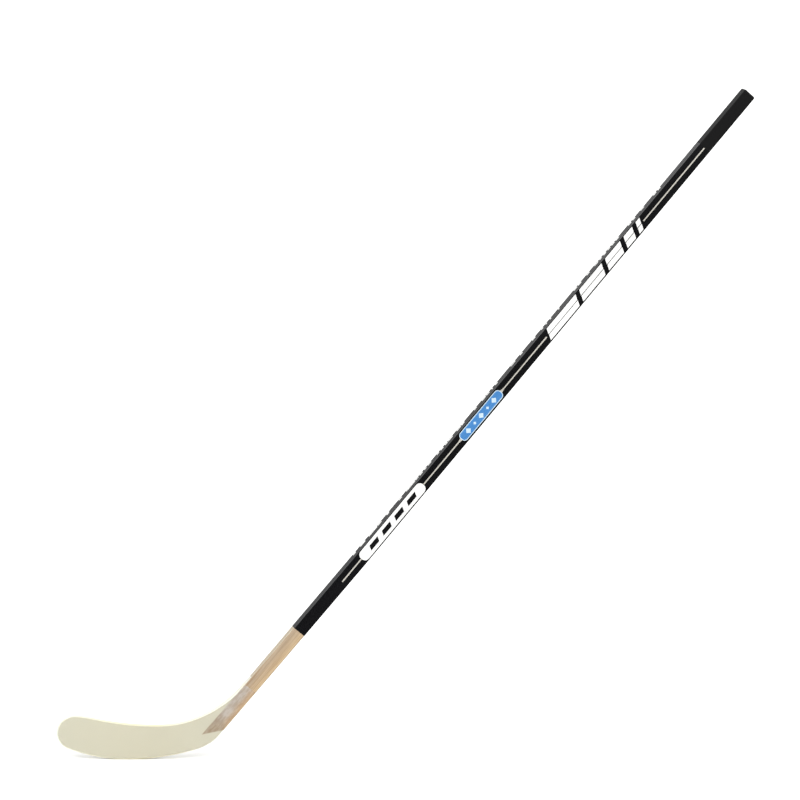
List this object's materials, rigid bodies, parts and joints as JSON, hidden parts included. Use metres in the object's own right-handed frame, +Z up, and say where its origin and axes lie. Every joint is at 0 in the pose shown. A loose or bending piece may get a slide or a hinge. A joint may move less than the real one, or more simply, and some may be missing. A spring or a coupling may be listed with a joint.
{
  "type": "ice hockey stick",
  "caption": "Ice hockey stick: laminated wooden shaft with a printed black film, bare wood at the lower end, and an ivory plastic blade skinned in glass cloth.",
  "frame": {"origin": "heel point: where the straight line of the shaft's rear edge meets the ice, on the shaft's mid-plane", "axes": "+Z up from the ice, blade towards -X, shaft leaning to +X at 51.6 degrees from the ice, +Y to the concave side of the blade"},
  "size_m": [1.254, 0.0273, 1.2595],
  "materials": {
    "hardwood": "planed",
    "softwood_core": "planed",
    "glass_laminate": "resin laminate",
    "face_veneer": "sanded and sealed",
    "black_film": "gloss",
    "black_dip": "matt",
    "print_cream": "printed",
    "print_white": "printed",
    "print_blue": "printed",
    "print_pale_blue": "printed",
    "print_black": "printed",
    "ivory_abs": "moulded, satin",
    "glass_cloth": "woven cloth in clear resin"
  },
  "bodies": {
    "root": {"core_edge_strip_rear": "hardwood", "core_edge_strip_front": "hardwood", "core_strip_rear": "softwood_core", "core_strip_middle": "softwood_core", "core_strip_front": "softwood_core", "glass_layer_front": "glass_laminate", "glass_layer_back": "glass_laminate", "face_veneer_front": "face_veneer", "face_veneer_back": "face_veneer", "film_coat": "black_film", "butt_dip": "black_dip", "stripe_lowest": "print_cream", "stripe_low": "print_cream", "stripe_middle": "print_cream", "stripe_top": "print_cream", "upper_graphic": "print_white", "blue_badge_border": "print_pale_blue", "blue_badge_field": "print_blue", "blue_badge_marks": "print_pale_blue", "blue_badge_points": "print_cream", "white_badge_plate": "print_white", "white_badge_marks": "print_black", "blade_core": "ivory_abs", "cloth_front": "glass_cloth", "cloth_back": "glass_cloth"}
  },
  "joints": []
}
